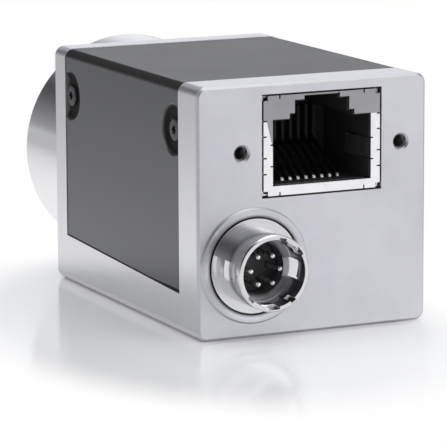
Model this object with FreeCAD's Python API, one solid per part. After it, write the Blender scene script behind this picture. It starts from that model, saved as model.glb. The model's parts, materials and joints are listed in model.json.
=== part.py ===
import FreeCAD, Part
import math
import os

# Cube-shaped industrial camera, in millimetres.
# Origin: centre of the bottom mounting face. +Z is up, +Y points to the connector side,
# and the lens looks along -Y.

V = FreeCAD.Vector
os.makedirs("parts", exist_ok=True)

# ---------------------------------------------------------------- driving dimensions

# housing
housing_width = 29.0
housing_height = 29.0
housing_length = 42.0
front_plate_thickness = 3.4
rear_plate_thickness = 5.1
plate_corner_radius = 1.2
plate_edge_chamfer = 0.3
floor_thickness = 2.4
side_wall_thickness = 2.5
side_wall_height = 9.0

# folded sheet cover
cover_thickness = 0.6
cover_inset = 0.1
cover_bend_radius = 1.0
cover_end_gap = 0.1
cover_lower_gap = 0.15
cover_edge_height_front = 6.1
cover_edge_height_rear = 4.9
cover_lip_length = 1.2
cover_lip_inset = 3.5
cover_lip_thickness = 0.5

# dished cover screws
cover_screw_from_top = 5.6
cover_screw_from_front_plate = 1.4
cover_screw_from_rear_plate = 1.6
dish_radius = 3.05
dish_floor_radius = 2.4
dish_depth = 0.5
cover_screw_head_radius = 1.3
cover_screw_head_height = 0.4
cover_screw_radius = 0.8
cover_screw_length = 3.0
drive_recess_radius = 0.5
drive_recess_depth = 0.25
lug_width = 4.8
lug_depth = 3.6
lug_thickness = 2.4

# lens mount, 1 inch - 32 thread, 17.526 mm from flange to sensor
mount_axis_height = 14.5
mount_ring_radius = 13.85
mount_ring_length = 11.7
mount_thread_radius = 12.33
mount_thread_length = 5.2
mount_bore_radius = 11.6
mount_spigot_radius = 12.9
mount_spigot_length = 1.8
mount_edge_chamfer = 0.35
flange_focal_distance = 17.526

# filter stack inside the lens mount
filter_holder_thickness = 2.5
filter_width = 16.0
filter_height = 13.0
filter_thickness = 1.0
filter_window_margin = 1.0
filter_gasket_thickness = 0.3
filter_ring_thickness = 0.9
filter_ring_wall = 1.3
spanner_slot_width = 1.2

# image sensor
sensor_window_width = 14.0
sensor_window_height = 12.2
sensor_window_corner = 1.5
package_width = 13.5
package_height = 11.8
package_depth = 1.95
package_wall = 1.1
die_width = 9.6
die_height = 7.6
die_thickness = 0.574
cover_glass_thickness = 0.5
gasket_wall = 1.6

# circuit boards
board_thickness = 1.2
board_side_clearance = 0.2
board_bottom = 3.0
board_from_top = 1.8
board_screw_from_side = 2.2
board_screw_edge = 1.9
board_gap = 4.7
board_screw_radius = 0.8
board_screw_head_radius = 1.5
board_screw_head_height = 0.9
board_screw_thread = 3.0
post_width = 3.6
mezzanine_width = 14.0
mezzanine_height = 3.4
mezzanine_socket_depth = 2.5
mezzanine_tongue_depth = 1.5
mezzanine_wall = 0.7
mezzanine_above_axis = 3.7
processor_size = 10.5
processor_thickness = 1.5
processor_height = 8.9
memory_width = 9.0
memory_height = 5.2
memory_thickness = 1.0
memory_top_margin = 1.0
thermal_pad_thickness = 0.5
heat_wall_thickness = 1.6
heat_wall_width = 10.0
heat_wall_height = 12.0

# horizontal interface board that carries the network socket
interface_board_thickness = 1.4
interface_board_side_clearance = 0.6
interface_board_length = 17.1
interface_board_gap = 0.3
interface_header_width = 15.0
interface_header_height = 4.0
interface_header_overlap = 1.7
network_chip_size = 6.0
network_chip_thickness = 0.9
ledge_width = 2.7
ledge_length = 4.0
ledge_thickness = 1.8
ledge_screw_radius = 0.8
ledge_screw_head_radius = 1.3
ledge_screw_head_height = 0.8
ledge_screw_length = 2.6

# network socket with stamped shield; offsets are up from the middle of its opening
jack_x = -1.15
jack_height_share = 0.752414
jack_opening_width = 15.2
jack_opening_height = 11.85
jack_gap = 0.2
jack_length = 20.4
shield_thickness = 0.25
socket_width = 12.45
socket_bottom_offset = -4.62
socket_top_offset = 2.98
latch_step_widths = [8.2, 6.9, 4.5]
latch_step_offsets = [3.58, 5.08, 5.68]
corner_notch = 0.55
edge_nick_width = 0.16
edge_nick_depth = 0.42
side_nick_offsets = [-3.2, -1.37, 1.08, 2.86]
cross_nick_offset = 5.35
finger_offset = -1.12
finger_width = 2.3
finger_reach = 5.4
finger_lean = 0.75
finger_thickness = 0.2
finger_relief = 0.3
lower_lip_depth = 1.1
magnetics_length = 6.6
cavity_depth = 11.4
cavity_side_clearance = 0.15
contact_count = 8
contact_pitch = 1.016
contact_width = 0.45
contact_thickness = 0.3
contact_tip_depth = 3.1
contact_rise = 3.5
contact_run = 6.6
comb_depth = 1.5
comb_rib_width = 0.4
comb_height = 4.6
jack_lock_spacing = 20.2
jack_lock_offset = -0.62
jack_lock_hole_radius = 0.8
jack_lock_hole_depth = 4.0
jack_lock_chamfer = 0.25

# round six-way connector
round_from_side = 7.0
round_height_share = 0.286207
boss_radius = 6.7
boss_height = 0.3
boss_edge_chamfer = 0.2
flange_radius = 5.45
flange_gap = 0.2
flange_seat_depth = 1.0
barrel_radius = 4.4
barrel_length = 5.3
barrel_rim_chamfer = 0.15
round_thread_radius = 4.2
round_tail_length = 11.0
socket_bore_radius = 3.85
socket_bore_depth = 3.5
collar_radius = 3.05
collar_chamfer = 0.3
insert_front_depth = 5.7
keyway_depth = 0.27
keyway_length = 1.7
keyway_angles = [74.0, 36.0, -54.0, -92.0, -137.0]
keyway_widths = [13.0, 15.0, 10.0, 24.0, 13.0]
key_angle = 57.0
key_width = 13.0
key_rise = 0.35
latch_window_size = 2.2
latch_window_depth = 2.85
latch_window_angle = -2.0
pin_count = 6
pin_circle_radius = 1.8
pin_radius = 0.3
pin_tip_depth = 2.1
pin_tail_length = 2.6
nut_corner_radius = 5.3
nut_thickness = 1.9
nut_pocket_depth = 2.0
power_board_half_width = 4.4
power_board_bottom = 3.2
power_board_top_gap = 0.7
power_header_depth = 2.3
power_header_height = 3.0
power_header_width = 8.0

# threaded fixing holes
base_hole_radius = 1.25
base_hole_depth = 3.4
base_hole_from_side = 4.5
base_hole_from_front = 4.9
base_rear_hole_from_rear = 10.0
base_boss_width = 4.2
base_boss_height = 4.6

# fits
fit_clearance = 0.1
thread_clearance = 0.05
pin_clearance = 0.03

# ---------------------------------------------------------------- places worked out from them

half_width = housing_width / 2
tray_inner = half_width - side_wall_thickness
front_face = -housing_length / 2
rear_face = housing_length / 2
front_plate_back = front_face + front_plate_thickness
rear_plate_front = rear_face - rear_plate_thickness
mount_face = front_face - mount_ring_length
sensor_plane = mount_face + flange_focal_distance
cover_outer = half_width - cover_inset
cover_inner = cover_outer - cover_thickness
cover_top = housing_height - cover_inset
cover_top_inner = cover_top - cover_thickness
cover_front = front_plate_back + cover_end_gap
cover_rear = rear_plate_front - cover_end_gap
dish_floor = cover_outer - dish_depth
lug_face = dish_floor - cover_thickness
cover_screw_height = housing_height - cover_screw_from_top
cover_lip_half = half_width - cover_lip_inset
base_hole_x = half_width - base_hole_from_side
board_half = tray_inner - board_side_clearance
board_top = housing_height - board_from_top
mezzanine_bottom = mount_axis_height + mezzanine_above_axis
board_screw_x = board_half - board_screw_from_side
cover_screw_front = front_plate_back + cover_screw_from_front_plate
cover_screw_rear = rear_plate_front - cover_screw_from_rear_plate
package_back = sensor_plane + die_thickness + (package_depth - die_thickness) * 0.5
package_front = package_back - package_depth
sensor_board_front = package_back
sensor_board_back = sensor_board_front + board_thickness
processor_board_front = sensor_board_back + board_gap
processor_board_back = processor_board_front + board_thickness
board_screw_low = board_bottom + board_screw_edge
board_screw_high = board_top - board_screw_edge
board_corners = [(-board_screw_x, board_screw_low), (board_screw_x, board_screw_low),
                 (-board_screw_x, board_screw_high), (board_screw_x, board_screw_high)]
board_screw_places = [board_corners[0], board_corners[3]]
jack_height = housing_height * jack_height_share
socket_bottom = jack_height + socket_bottom_offset
socket_top = jack_height + socket_top_offset
finger_height = jack_height + finger_offset
jack_lock_height = jack_height + jack_lock_offset
jack_left = jack_x - jack_opening_width / 2 + jack_gap
jack_right = jack_x + jack_opening_width / 2 - jack_gap
jack_bottom = jack_height - jack_opening_height / 2 + jack_gap
jack_top = jack_height + jack_opening_height / 2 - jack_gap
jack_back = rear_face - jack_length
interface_top = jack_bottom
interface_bottom = interface_top - interface_board_thickness
interface_half = cover_inner - interface_board_side_clearance
interface_rear = rear_plate_front - interface_board_gap
interface_front = interface_rear - interface_board_length
ledge_screw_x = interface_half - ledge_width / 2
ledge_screw_y = rear_plate_front - ledge_length / 2 - interface_board_gap
round_x = half_width - round_from_side
round_height = housing_height * round_height_share
flange_back = rear_face - flange_seat_depth
flange_front = rear_face + boss_height
barrel_end = rear_face + barrel_length
round_back = flange_back - round_tail_length
nut_front = rear_plate_front + nut_pocket_depth - nut_thickness
power_board_front = round_back - pin_tail_length - board_thickness


# ---------------------------------------------------------------- small helpers

def block(x, y, z):
    """Box between two values on each axis."""
    return Part.makeBox(x[1] - x[0], y[1] - y[0], z[1] - z[0], V(x[0], y[0], z[0]))


def rod(radius, x, z, y):
    """Cylinder along Y, between two values of y."""
    return Part.makeCylinder(radius, y[1] - y[0], V(x, y[0], z), V(0, 1, 0))


def upright_rod(radius, x, y, z):
    """Cylinder along Z, between two values of z."""
    return Part.makeCylinder(radius, z[1] - z[0], V(x, y, z[0]), V(0, 0, 1))


def turned(points, x, z):
    """Solid of revolution about a Y axis; points are (radius, y)."""
    outline = [V(x + radius, y, z) for radius, y in points]
    face = Part.Face(Part.makePolygon(outline + outline[:1]))
    return face.revolve(V(x, 0, z), V(0, 1, 0), 360)


def rounded_plate(width, z, y, radius):
    """Plate across Y with its four corners rounded, centred on x = 0."""
    plate = block((-width / 2, width / 2), y, z)
    corners = [edge for edge in plate.Edges if abs(edge.tangentAt(0).y) > 0.9]
    return plate.makeFillet(radius, corners)


def extruded_yz(points, x):
    """Outline in the YZ plane, extruded between two values of x."""
    outline = [V(x[0], y, z) for y, z in points]
    face = Part.Face(Part.makePolygon(outline + outline[:1]))
    return face.extrude(V(x[1] - x[0], 0, 0))


def mirrored(shape):
    """The same shape on the other side of the YZ plane."""
    return shape.mirror(V(0, 0, 0), V(1, 0, 0))


def both_sides(shape):
    """A shape and its mirror image, as a list."""
    return [shape, mirrored(shape)]


def hexagon(centre, radius, along):
    """Six-sided prism from a centre; radius is to its corners, along is its axis and length."""
    across = V(0, 0, radius) if abs(along.z) < abs(along.x) + abs(along.y) else V(radius, 0, 0)
    side = along.cross(across).normalize() * radius
    turns = [math.pi * index / 3 for index in range(6)]
    corners = [centre + across * math.cos(turn) + side * math.sin(turn) for turn in turns]
    return Part.Face(Part.makePolygon(corners + corners[:1])).extrude(along)


def fused(first, others):
    """One clean solid from several that touch."""
    return first.fuse(others).removeSplitter()


def save(name, solids):
    """Write one sub-part; like pieces go in one file as separate solids."""
    shape = solids[0] if len(solids) == 1 else Part.makeCompound(solids)
    shape.exportStep(f"parts/{name}.step")


# ---------------------------------------------------------------- front casting and mount

def cover_line(y, gap):
    """Height of the cover's slanting lower edge at y, less a gap."""
    share = (y - front_plate_back) / (rear_plate_front - front_plate_back)
    drop = (cover_edge_height_front - cover_edge_height_rear) * share
    return cover_edge_height_front - drop - gap


def screw_lug(y):
    """Lug behind the cover that takes one dished screw."""
    return block((lug_face - lug_thickness, lug_face), y,
                 (cover_screw_height - lug_width / 2, cover_screw_height + lug_width / 2))


def lug_hole(y):
    """Tapped hole in a lug, along X."""
    depth = cover_screw_length + fit_clearance
    return Part.makeCylinder(cover_screw_radius + thread_clearance, depth,
                             V(lug_face - depth, y, cover_screw_height), V(1, 0, 0))


def top_lip(y):
    """Lip on a plate that the cover's roof rests on."""
    return block((-cover_lip_half, cover_lip_half), y,
                 (cover_top_inner - cover_lip_thickness, cover_top_inner))


def broken_rim(plate, y, chamfer):
    """Break the sharp rim of a plate's outer face."""
    rim = [edge for edge in plate.Edges
           if abs(edge.BoundBox.YMin - y) < 1e-6 and abs(edge.BoundBox.YMax - y) < 1e-6]
    return plate.makeChamfer(chamfer, rim)


def square_post(x, z, y):
    """Square post for the board stack, along Y."""
    half = post_width / 2
    return block((x - half, x + half), y, (z - half, z + half))


def base_boss(x, y):
    """Square boss on the tray floor round a fixing hole."""
    half = base_boss_width / 2
    return block((x - half, x + half), (y - half, y + half), (floor_thickness, base_boss_height))


def front_chassis():
    """Cast front plate and tray in one piece, with posts, lugs, bosses and tapped holes."""
    plate = rounded_plate(housing_width, (0, housing_height), (front_face, front_plate_back),
                          plate_corner_radius)
    plate = broken_rim(plate, front_face, plate_edge_chamfer)

    # tray: full section with rounded lower corners, hollowed from above
    tray = rounded_plate(housing_width, (0, housing_height), (front_plate_back, rear_plate_front),
                         plate_corner_radius)
    above = housing_height + 1
    tray = tray.cut(block((-half_width, half_width), (front_plate_back, rear_plate_front),
                          (side_wall_height, above)))
    tray = tray.cut(block((-tray_inner, tray_inner), (front_plate_back, rear_plate_front),
                          (floor_thickness, above)))

    # rebate in both walls, where the cover's sides come down over them
    rebate = extruded_yz([(front_plate_back, cover_line(front_plate_back, cover_lower_gap)),
                          (rear_plate_front, cover_line(rear_plate_front, cover_lower_gap)),
                          (rear_plate_front, above), (front_plate_back, above)],
                         (cover_inner, half_width + 1))
    for side in both_sides(rebate):
        tray = tray.cut(side)

    # posts for the board stack, lugs, lip, heat wall and hole bosses
    additions = [tray, top_lip((front_plate_back, front_plate_back + cover_lip_length))]
    for x, z in board_corners:
        additions.append(square_post(x, z, (front_plate_back, sensor_board_front)))
    additions += both_sides(screw_lug((front_plate_back, front_plate_back + lug_depth)))
    pad_back = processor_board_back + processor_thickness + thermal_pad_thickness
    additions.append(block((-heat_wall_width / 2, heat_wall_width / 2),
                           (pad_back, pad_back + heat_wall_thickness),
                           (floor_thickness, heat_wall_height)))
    base_hole_y = front_face + base_hole_from_front
    rear_hole_y = rear_face - base_rear_hole_from_rear
    additions += both_sides(base_boss(base_hole_x, base_hole_y))
    additions.append(base_boss(0, rear_hole_y))
    casting = fused(plate, additions)

    # mount seat, sensor window and every tapped hole
    cuts = [rod(mount_spigot_radius + thread_clearance, 0, mount_axis_height,
                (front_face, front_face + mount_spigot_length))]
    window = rounded_plate(sensor_window_width,
                           (mount_axis_height - sensor_window_height / 2,
                            mount_axis_height + sensor_window_height / 2),
                           (front_face, front_plate_back), sensor_window_corner)
    cuts.append(window)
    for x, z in board_screw_places:
        cuts.append(rod(board_screw_radius + thread_clearance, x, z,
                        (sensor_board_front - board_screw_thread - fit_clearance, sensor_board_front)))
    cuts += both_sides(lug_hole(cover_screw_front))
    cuts += both_sides(upright_rod(base_hole_radius, base_hole_x, base_hole_y, (0, base_hole_depth)))
    cuts.append(upright_rod(base_hole_radius, 0, rear_hole_y, (0, base_hole_depth)))
    return casting.cut(cuts)


def lens_mount_ring():
    """Turned ring with the lens thread's bore and a spigot that sits in the front plate."""
    thread_end = mount_face + mount_thread_length
    spigot_end = front_face + mount_spigot_length
    chamfer = mount_edge_chamfer
    profile = [
        (mount_thread_radius + chamfer, mount_face),
        (mount_ring_radius - chamfer, mount_face),
        (mount_ring_radius, mount_face + chamfer),
        (mount_ring_radius, front_face),
        (mount_spigot_radius, front_face),
        (mount_spigot_radius, spigot_end),
        (mount_bore_radius, spigot_end),
        (mount_bore_radius, thread_end),
        (mount_thread_radius, thread_end),
        (mount_thread_radius, mount_face + chamfer),
    ]
    return turned(profile, 0, mount_axis_height)


# ---------------------------------------------------------------- filter and sensor

def centred_block(width, height, y):
    """Box across the optical axis."""
    return block((-width / 2, width / 2), y,
                 (mount_axis_height - height / 2, mount_axis_height + height / 2))


def filter_holder():
    """Round holder on the floor of the mount's seat, with a pocket for the filter and a window."""
    front = front_face - filter_holder_thickness
    back = front_face + mount_spigot_length
    holder = rod(mount_bore_radius - fit_clearance, 0, mount_axis_height, (front, back))
    pocket_depth = filter_thickness + filter_gasket_thickness
    pocket = centred_block(filter_width + 2 * fit_clearance, filter_height + 2 * fit_clearance,
                           (front, front + pocket_depth))
    margin = 2 * filter_window_margin
    window = centred_block(filter_width - margin, filter_height - margin, (front, back))
    return holder.cut([pocket, window])


def infrared_filter():
    """Coated glass plate at the bottom of the holder's pocket."""
    back = front_face - filter_holder_thickness + filter_gasket_thickness + filter_thickness
    return centred_block(filter_width, filter_height, (back - filter_thickness, back))


def filter_gasket():
    """Thin frame that presses the filter into its pocket."""
    front = front_face - filter_holder_thickness
    frame = centred_block(filter_width, filter_height, (front, front + filter_gasket_thickness))
    margin = 2 * filter_window_margin
    return frame.cut(centred_block(filter_width - margin, filter_height - margin,
                                   (front, front + filter_gasket_thickness)))


def filter_retaining_ring():
    """Slotted ring screwed in against the holder."""
    back = front_face - filter_holder_thickness
    front = back - filter_ring_thickness
    outer = mount_bore_radius - fit_clearance
    ring = rod(outer, 0, mount_axis_height, (front, back))
    ring = ring.cut(rod(outer - filter_ring_wall, 0, mount_axis_height, (front, back)))
    slot = block((-outer, outer),
                 (front, front + filter_ring_thickness / 2),
                 (mount_axis_height - spanner_slot_width / 2, mount_axis_height + spanner_slot_width / 2))
    return ring.cut(slot)


def sensor_package():
    """Ceramic chip carrier with a cavity for the die."""
    package = centred_block(package_width, package_height, (package_front, package_back))
    wall = 2 * package_wall
    cavity = centred_block(package_width - wall, package_height - wall,
                           (package_front, sensor_plane + die_thickness))
    return package.cut(cavity)


def sensor_die():
    """Silicon die, its front on the mount's focal plane."""
    return centred_block(die_width, die_height, (sensor_plane, sensor_plane + die_thickness))


def sensor_cover_glass():
    """Glass lid on the carrier's rim."""
    return centred_block(package_width - package_wall, package_height - package_wall,
                         (package_front - cover_glass_thickness, package_front))


def sensor_gasket():
    """Foam frame that seals the sensor against the front plate."""
    inner_width = package_width + 2 * fit_clearance
    inner_height = package_height + 2 * fit_clearance
    depth = (front_plate_back, sensor_board_front)
    frame = centred_block(inner_width + 2 * gasket_wall, inner_height + 2 * gasket_wall, depth)
    return frame.cut(centred_block(inner_width, inner_height, depth))


# ---------------------------------------------------------------- vertical board stack

def screw_slot(x, z, y):
    """Slot for a long board screw, open towards the nearer side."""
    half = board_screw_radius + fit_clearance
    mouth = math.copysign(half_width, x)
    return block((min(x - half, mouth), max(x + half, mouth)), y, (z - half, z + half))


def stack_board(front):
    """One upright circuit board, slotted at two corners for its screws."""
    y = (front, front + board_thickness)
    board = block((-board_half, board_half), y, (board_bottom, board_top))
    return board.cut([screw_slot(x, z, y) for x, z in board_screw_places])


def board_spacers():
    """Four square spacers between the upright boards, two of them slotted for the screws."""
    span = (sensor_board_back, processor_board_front)
    slots = [screw_slot(x, z, span) for x, z in board_screw_places]
    return [square_post(x, z, span).cut(slots) for x, z in board_corners]


def board_screws():
    """Two long hexagon-head screws through boards and spacers into the casting's posts."""
    screws = []
    for x, z in board_screw_places:
        head = hexagon(V(x, processor_board_back, z), board_screw_head_radius,
                       V(0, board_screw_head_height, 0))
        shank = rod(board_screw_radius, x, z,
                    (sensor_board_front - board_screw_thread, processor_board_back))
        screws.append(fused(head, [shank]))
    return screws


def mezzanine_socket():
    """Board-to-board socket on the back of the sensor board."""
    z = (mezzanine_bottom, mezzanine_bottom + mezzanine_height)
    half = mezzanine_width / 2
    back = sensor_board_back + mezzanine_socket_depth
    body = block((-half, half), (sensor_board_back, back), z)
    wall = mezzanine_wall
    slot = block((-half + wall, half - wall), (back - mezzanine_tongue_depth - fit_clearance, back),
                 (z[0] + wall, z[1] - wall))
    return body.cut(slot)


def mezzanine_plug():
    """Board-to-board plug on the front of the processor board, its tongue in the socket."""
    z = (mezzanine_bottom, mezzanine_bottom + mezzanine_height)
    half = mezzanine_width / 2
    seat = sensor_board_back + mezzanine_socket_depth
    body = block((-half, half), (seat, processor_board_front), z)
    inset = mezzanine_wall + fit_clearance
    tongue = block((-half + inset, half - inset), (seat - mezzanine_tongue_depth, seat),
                   (z[0] + inset, z[1] - inset))
    return fused(body, [tongue])


def processor_chip():
    """Processor on the back of the upright board, facing the heat wall."""
    half = processor_size / 2
    return block((-half, half), (processor_board_back, processor_board_back + processor_thickness),
                 (processor_height - half, processor_height + half))


def thermal_pad():
    """Soft pad between the processor and the casting's heat wall."""
    front = processor_board_back + processor_thickness
    half = processor_size / 2 - fit_clearance
    return block((-half, half), (front, front + thermal_pad_thickness),
                 (processor_height - half, heat_wall_height))


def memory_chip():
    """Image buffer above the processor."""
    top = board_top - memory_top_margin
    return block((-memory_width / 2, memory_width / 2),
                 (processor_board_back, processor_board_back + memory_thickness),
                 (top - memory_height, top))


# ---------------------------------------------------------------- interface board

def interface_board():
    """Horizontal board under the network socket, slotted at its sides for the ledge screws."""
    board = block((-interface_half, interface_half), (interface_front, interface_rear),
                  (interface_bottom, interface_top))
    slot_half = ledge_screw_radius + fit_clearance
    slot = block((ledge_screw_x - slot_half, interface_half),
                 (ledge_screw_y - slot_half, ledge_screw_y + slot_half), (interface_bottom, interface_top))
    return board.cut(both_sides(slot))


def interface_header():
    """Right-angle connector from the upright processor board to the interface board."""
    half = interface_header_width / 2
    return block((-half, half), (processor_board_back, interface_front + interface_header_overlap),
                 (interface_top, interface_top + interface_header_height))


def interface_screws():
    """Two hexagon-head screws that hold the interface board on its ledges."""
    head = hexagon(V(ledge_screw_x, ledge_screw_y, interface_top), ledge_screw_head_radius,
                   V(0, 0, ledge_screw_head_height))
    shank = upright_rod(ledge_screw_radius, ledge_screw_x, ledge_screw_y,
                        (interface_top - ledge_screw_length, interface_top))
    return both_sides(fused(head, [shank]))


def network_chip():
    """Network interface chip on the underside of the interface board."""
    return block((jack_x - network_chip_size, jack_x),
                 (interface_front + network_chip_size / 2, interface_front + network_chip_size * 1.5),
                 (interface_bottom - network_chip_thickness, interface_bottom))


# ---------------------------------------------------------------- network socket

def socket_opening(y, grow):
    """Stepped plug opening with the latch channel on top, extruded along Y."""
    widths = [socket_width] + latch_step_widths
    tops = [socket_top] + [jack_height + offset for offset in latch_step_offsets]
    steps = [block((jack_x - width / 2 - grow, jack_x + width / 2 + grow), y, (socket_bottom, top + grow))
             for width, top in zip(widths, tops)]
    return fused(steps[0], steps[1:])


def shield_finger(side):
    """Spring finger folded in from one side of the shield's face; side is -1 or 1."""
    root_x = jack_x + side * (socket_width / 2)
    tip_x = root_x - side * finger_lean
    face_y = rear_face - shield_thickness
    mid_y = face_y - finger_reach * 0.75
    end_y = face_y - finger_reach
    end_x = tip_x + side * finger_lean * 0.5
    inner = [(root_x, face_y), (tip_x, mid_y), (end_x, end_y)]
    outer = [(x + side * finger_thickness, y) for x, y in reversed(inner)]
    outline = [V(x, y, finger_height - finger_width / 2) for x, y in inner + outer]
    face = Part.Face(Part.makePolygon(outline + outline[:1]))
    return face.extrude(V(0, 0, finger_width))


def jack_shield():
    """Stamped metal shell: stepped face, corner notches, edge nicks, lip and spring fingers."""
    outer = block((jack_left, jack_right), (jack_back, rear_face), (jack_bottom, jack_top))
    wall = shield_thickness
    inner = block((jack_left + wall, jack_right - wall), (jack_back + wall, rear_face - wall),
                  (jack_bottom + wall, jack_top - wall))
    shell = outer.cut(inner)
    shell = shell.cut(socket_opening((rear_face - wall, rear_face), 0))

    # square notches at the face's corners and short nicks along its edges
    notches = []
    for x in (jack_left, jack_right - corner_notch):
        for z in (jack_bottom, jack_top - corner_notch):
            notches.append(block((x, x + corner_notch), (rear_face - corner_notch, rear_face),
                                 (z, z + corner_notch)))
    for z in [jack_height + offset for offset in side_nick_offsets]:
        for x in (jack_left, jack_right - edge_nick_depth):
            notches.append(block((x, x + edge_nick_depth), (rear_face - corner_notch, rear_face),
                                 (z - edge_nick_width / 2, z + edge_nick_width / 2)))
    for x in (jack_x - cross_nick_offset, jack_x + cross_nick_offset):
        for z in (jack_bottom, jack_top - edge_nick_depth):
            notches.append(block((x - edge_nick_width / 2, x + edge_nick_width / 2),
                                 (rear_face - corner_notch, rear_face), (z, z + edge_nick_depth)))
    for side in (-1, 1):
        root_x = jack_x + side * socket_width / 2
        span = (min(root_x, root_x + side * finger_relief), max(root_x, root_x + side * finger_relief))
        for z in (finger_height - finger_width / 2, finger_height + finger_width / 2 + edge_nick_width):
            notches.append(block(span, (rear_face - corner_notch, rear_face), (z - edge_nick_width, z)))
    shell = shell.cut(notches)

    # folded lower lip and two spring fingers
    lip_half = socket_width / 2 - 2 * finger_thickness
    lip = block((jack_x - lip_half, jack_x + lip_half),
                (rear_face - wall - lower_lip_depth, rear_face - wall),
                (socket_bottom - wall, socket_bottom))
    lip_root = block((jack_x - lip_half, jack_x + lip_half), (rear_face - wall, rear_face),
                     (socket_bottom - wall, socket_bottom))
    return fused(shell, [lip, lip_root, shield_finger(-1), shield_finger(1)])


def contact_place(index):
    """X of one contact, counted from the middle of the row."""
    return jack_x + (index - (contact_count - 1) / 2) * contact_pitch


def jack_housing():
    """Moulded body with the plug cavity, latch channel, finger pockets and contact comb."""
    wall = shield_thickness
    clear = fit_clearance
    front = rear_face - wall
    back = jack_back + wall + magnetics_length
    body = block((jack_left + wall + clear, jack_right - wall - clear), (back, front),
                 (jack_bottom + wall, jack_top - wall - clear))
    cavity_back = front - cavity_depth
    cavity = socket_opening((cavity_back, front), -cavity_side_clearance)
    reach = (front - finger_reach - 3 * clear, front)
    pocket_half = socket_width / 2 + finger_thickness + 2 * clear
    pockets = block((jack_x - pocket_half, jack_x + pocket_half), reach,
                    (finger_height - finger_width / 2 - clear, finger_height + finger_width / 2 + clear))
    lip_relief = block((jack_x - pocket_half, jack_x + pocket_half),
                       (front - lower_lip_depth - clear, front),
                       (jack_bottom + wall, socket_bottom + clear))
    body = body.cut([cavity, pockets, lip_relief])

    # comb ribs on the back wall, one between each pair of contacts
    ribs = []
    for index in range(contact_count + 1):
        x = contact_place(index) - contact_pitch / 2
        ribs.append(block((x - comb_rib_width / 2, x + comb_rib_width / 2),
                          (cavity_back, cavity_back + comb_depth),
                          (socket_top - cavity_side_clearance - comb_height,
                           socket_top - cavity_side_clearance)))
    body = fused(body, ribs)

    # floor slots that hold the contacts' lower legs
    slots = []
    for index in range(contact_count):
        x = contact_place(index)
        half = contact_width / 2 + pin_clearance
        slots.append(block((x - half, x + half),
                           (cavity_back, front - contact_tip_depth + contact_thickness),
                           (socket_bottom - contact_thickness - pin_clearance, socket_bottom)))
    return body.cut(slots)


def jack_contacts():
    """Eight spring contacts: a leg along the floor, a bend, and a blade rising to the rear."""
    tip_y = rear_face - shield_thickness - contact_tip_depth
    leg_back = rear_face - shield_thickness - cavity_depth
    thick = contact_thickness
    slope = contact_rise / contact_run
    blade_lift = thick * math.hypot(1, slope)
    profile = [
        (leg_back, socket_bottom - thick),
        (tip_y + thick * 0.6, socket_bottom - thick),
        (tip_y + thick, socket_bottom),
        (tip_y + thick * 0.6, socket_bottom + blade_lift),
        (tip_y - contact_run, socket_bottom + contact_rise + blade_lift),
        (tip_y - contact_run, socket_bottom + contact_rise),
        (tip_y, socket_bottom),
        (leg_back, socket_bottom),
    ]
    contacts = []
    for index in range(contact_count):
        x = contact_place(index)
        contacts.append(extruded_yz(profile, (x - contact_width / 2, x + contact_width / 2)))
    return contacts


def jack_magnetics():
    """Transformer module in the back of the shield."""
    wall = shield_thickness
    return block((jack_left + wall + fit_clearance, jack_right - wall - fit_clearance),
                 (jack_back + wall, jack_back + wall + magnetics_length),
                 (jack_bottom + wall, jack_top - wall - fit_clearance))


# ---------------------------------------------------------------- round connector

def sector_block(radius_in, radius_out, y, angle, width):
    """Piece of a ring about the connector's axis; angles as seen from the rear, from the right."""
    ring = rod(radius_out, round_x, round_height, y).cut(rod(radius_in, round_x, round_height, y))
    reach = radius_out * 2
    edges = [math.radians(angle - width / 2), math.radians(angle + width / 2)]
    corners = [V(round_x, y[0], round_height)]
    corners += [V(round_x - reach * math.cos(a), y[0], round_height + reach * math.sin(a)) for a in edges]
    wedge = Part.Face(Part.makePolygon(corners + corners[:1])).extrude(V(0, y[1] - y[0], 0))
    return ring.common(wedge)


def connector_shell():
    """Turned shell: barrel, flange and threaded tail, with keyways, a key and two latch windows."""
    bore_end = barrel_end - socket_bore_depth
    profile = [
        (socket_bore_radius, barrel_end),
        (barrel_radius - barrel_rim_chamfer, barrel_end),
        (barrel_radius, barrel_end - barrel_rim_chamfer),
        (barrel_radius, flange_front),
        (flange_radius, flange_front),
        (flange_radius, flange_back),
        (round_thread_radius, flange_back),
        (round_thread_radius, round_back),
        (collar_radius, round_back),
        (collar_radius, bore_end - collar_chamfer),
        (collar_radius + collar_chamfer, bore_end),
        (socket_bore_radius, bore_end),
    ]
    shell = turned(profile, round_x, round_height)
    cuts = []
    for angle, width in zip(keyway_angles, keyway_widths):
        cuts.append(sector_block(socket_bore_radius - fit_clearance, socket_bore_radius + keyway_depth,
                                 (barrel_end - keyway_length, barrel_end), angle, width))
    window_y = barrel_end - latch_window_depth
    half = latch_window_size / 2
    window = block((-flange_radius, flange_radius), (window_y - half, window_y + half), (-half, half))
    window.rotate(V(0, 0, 0), V(0, 1, 0), latch_window_angle)
    window.translate(V(round_x, 0, round_height))
    cuts.append(window)
    shell = shell.cut(cuts)
    key = sector_block(socket_bore_radius - key_rise, socket_bore_radius + fit_clearance,
                       (barrel_end - keyway_length, barrel_end), key_angle, key_width)
    return fused(shell, [key])


def pin_places():
    """Axis of each pin, as (x, z)."""
    places = []
    for index in range(pin_count):
        angle = 2 * math.pi * index / pin_count
        places.append((round_x + pin_circle_radius * math.cos(angle),
                       round_height + pin_circle_radius * math.sin(angle)))
    return places


def connector_insert():
    """Moulded insulator with six passages that grip the pins."""
    span = (round_back, barrel_end - insert_front_depth)
    insert = rod(collar_radius - pin_clearance, round_x, round_height, span)
    passage_radius = (pin_radius + pin_clearance) / math.cos(math.pi / 6)
    along = V(0, span[1] - span[0], 0)
    passages = [hexagon(V(x, span[0], z), passage_radius, along) for x, z in pin_places()]
    return insert.cut(passages)


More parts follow.
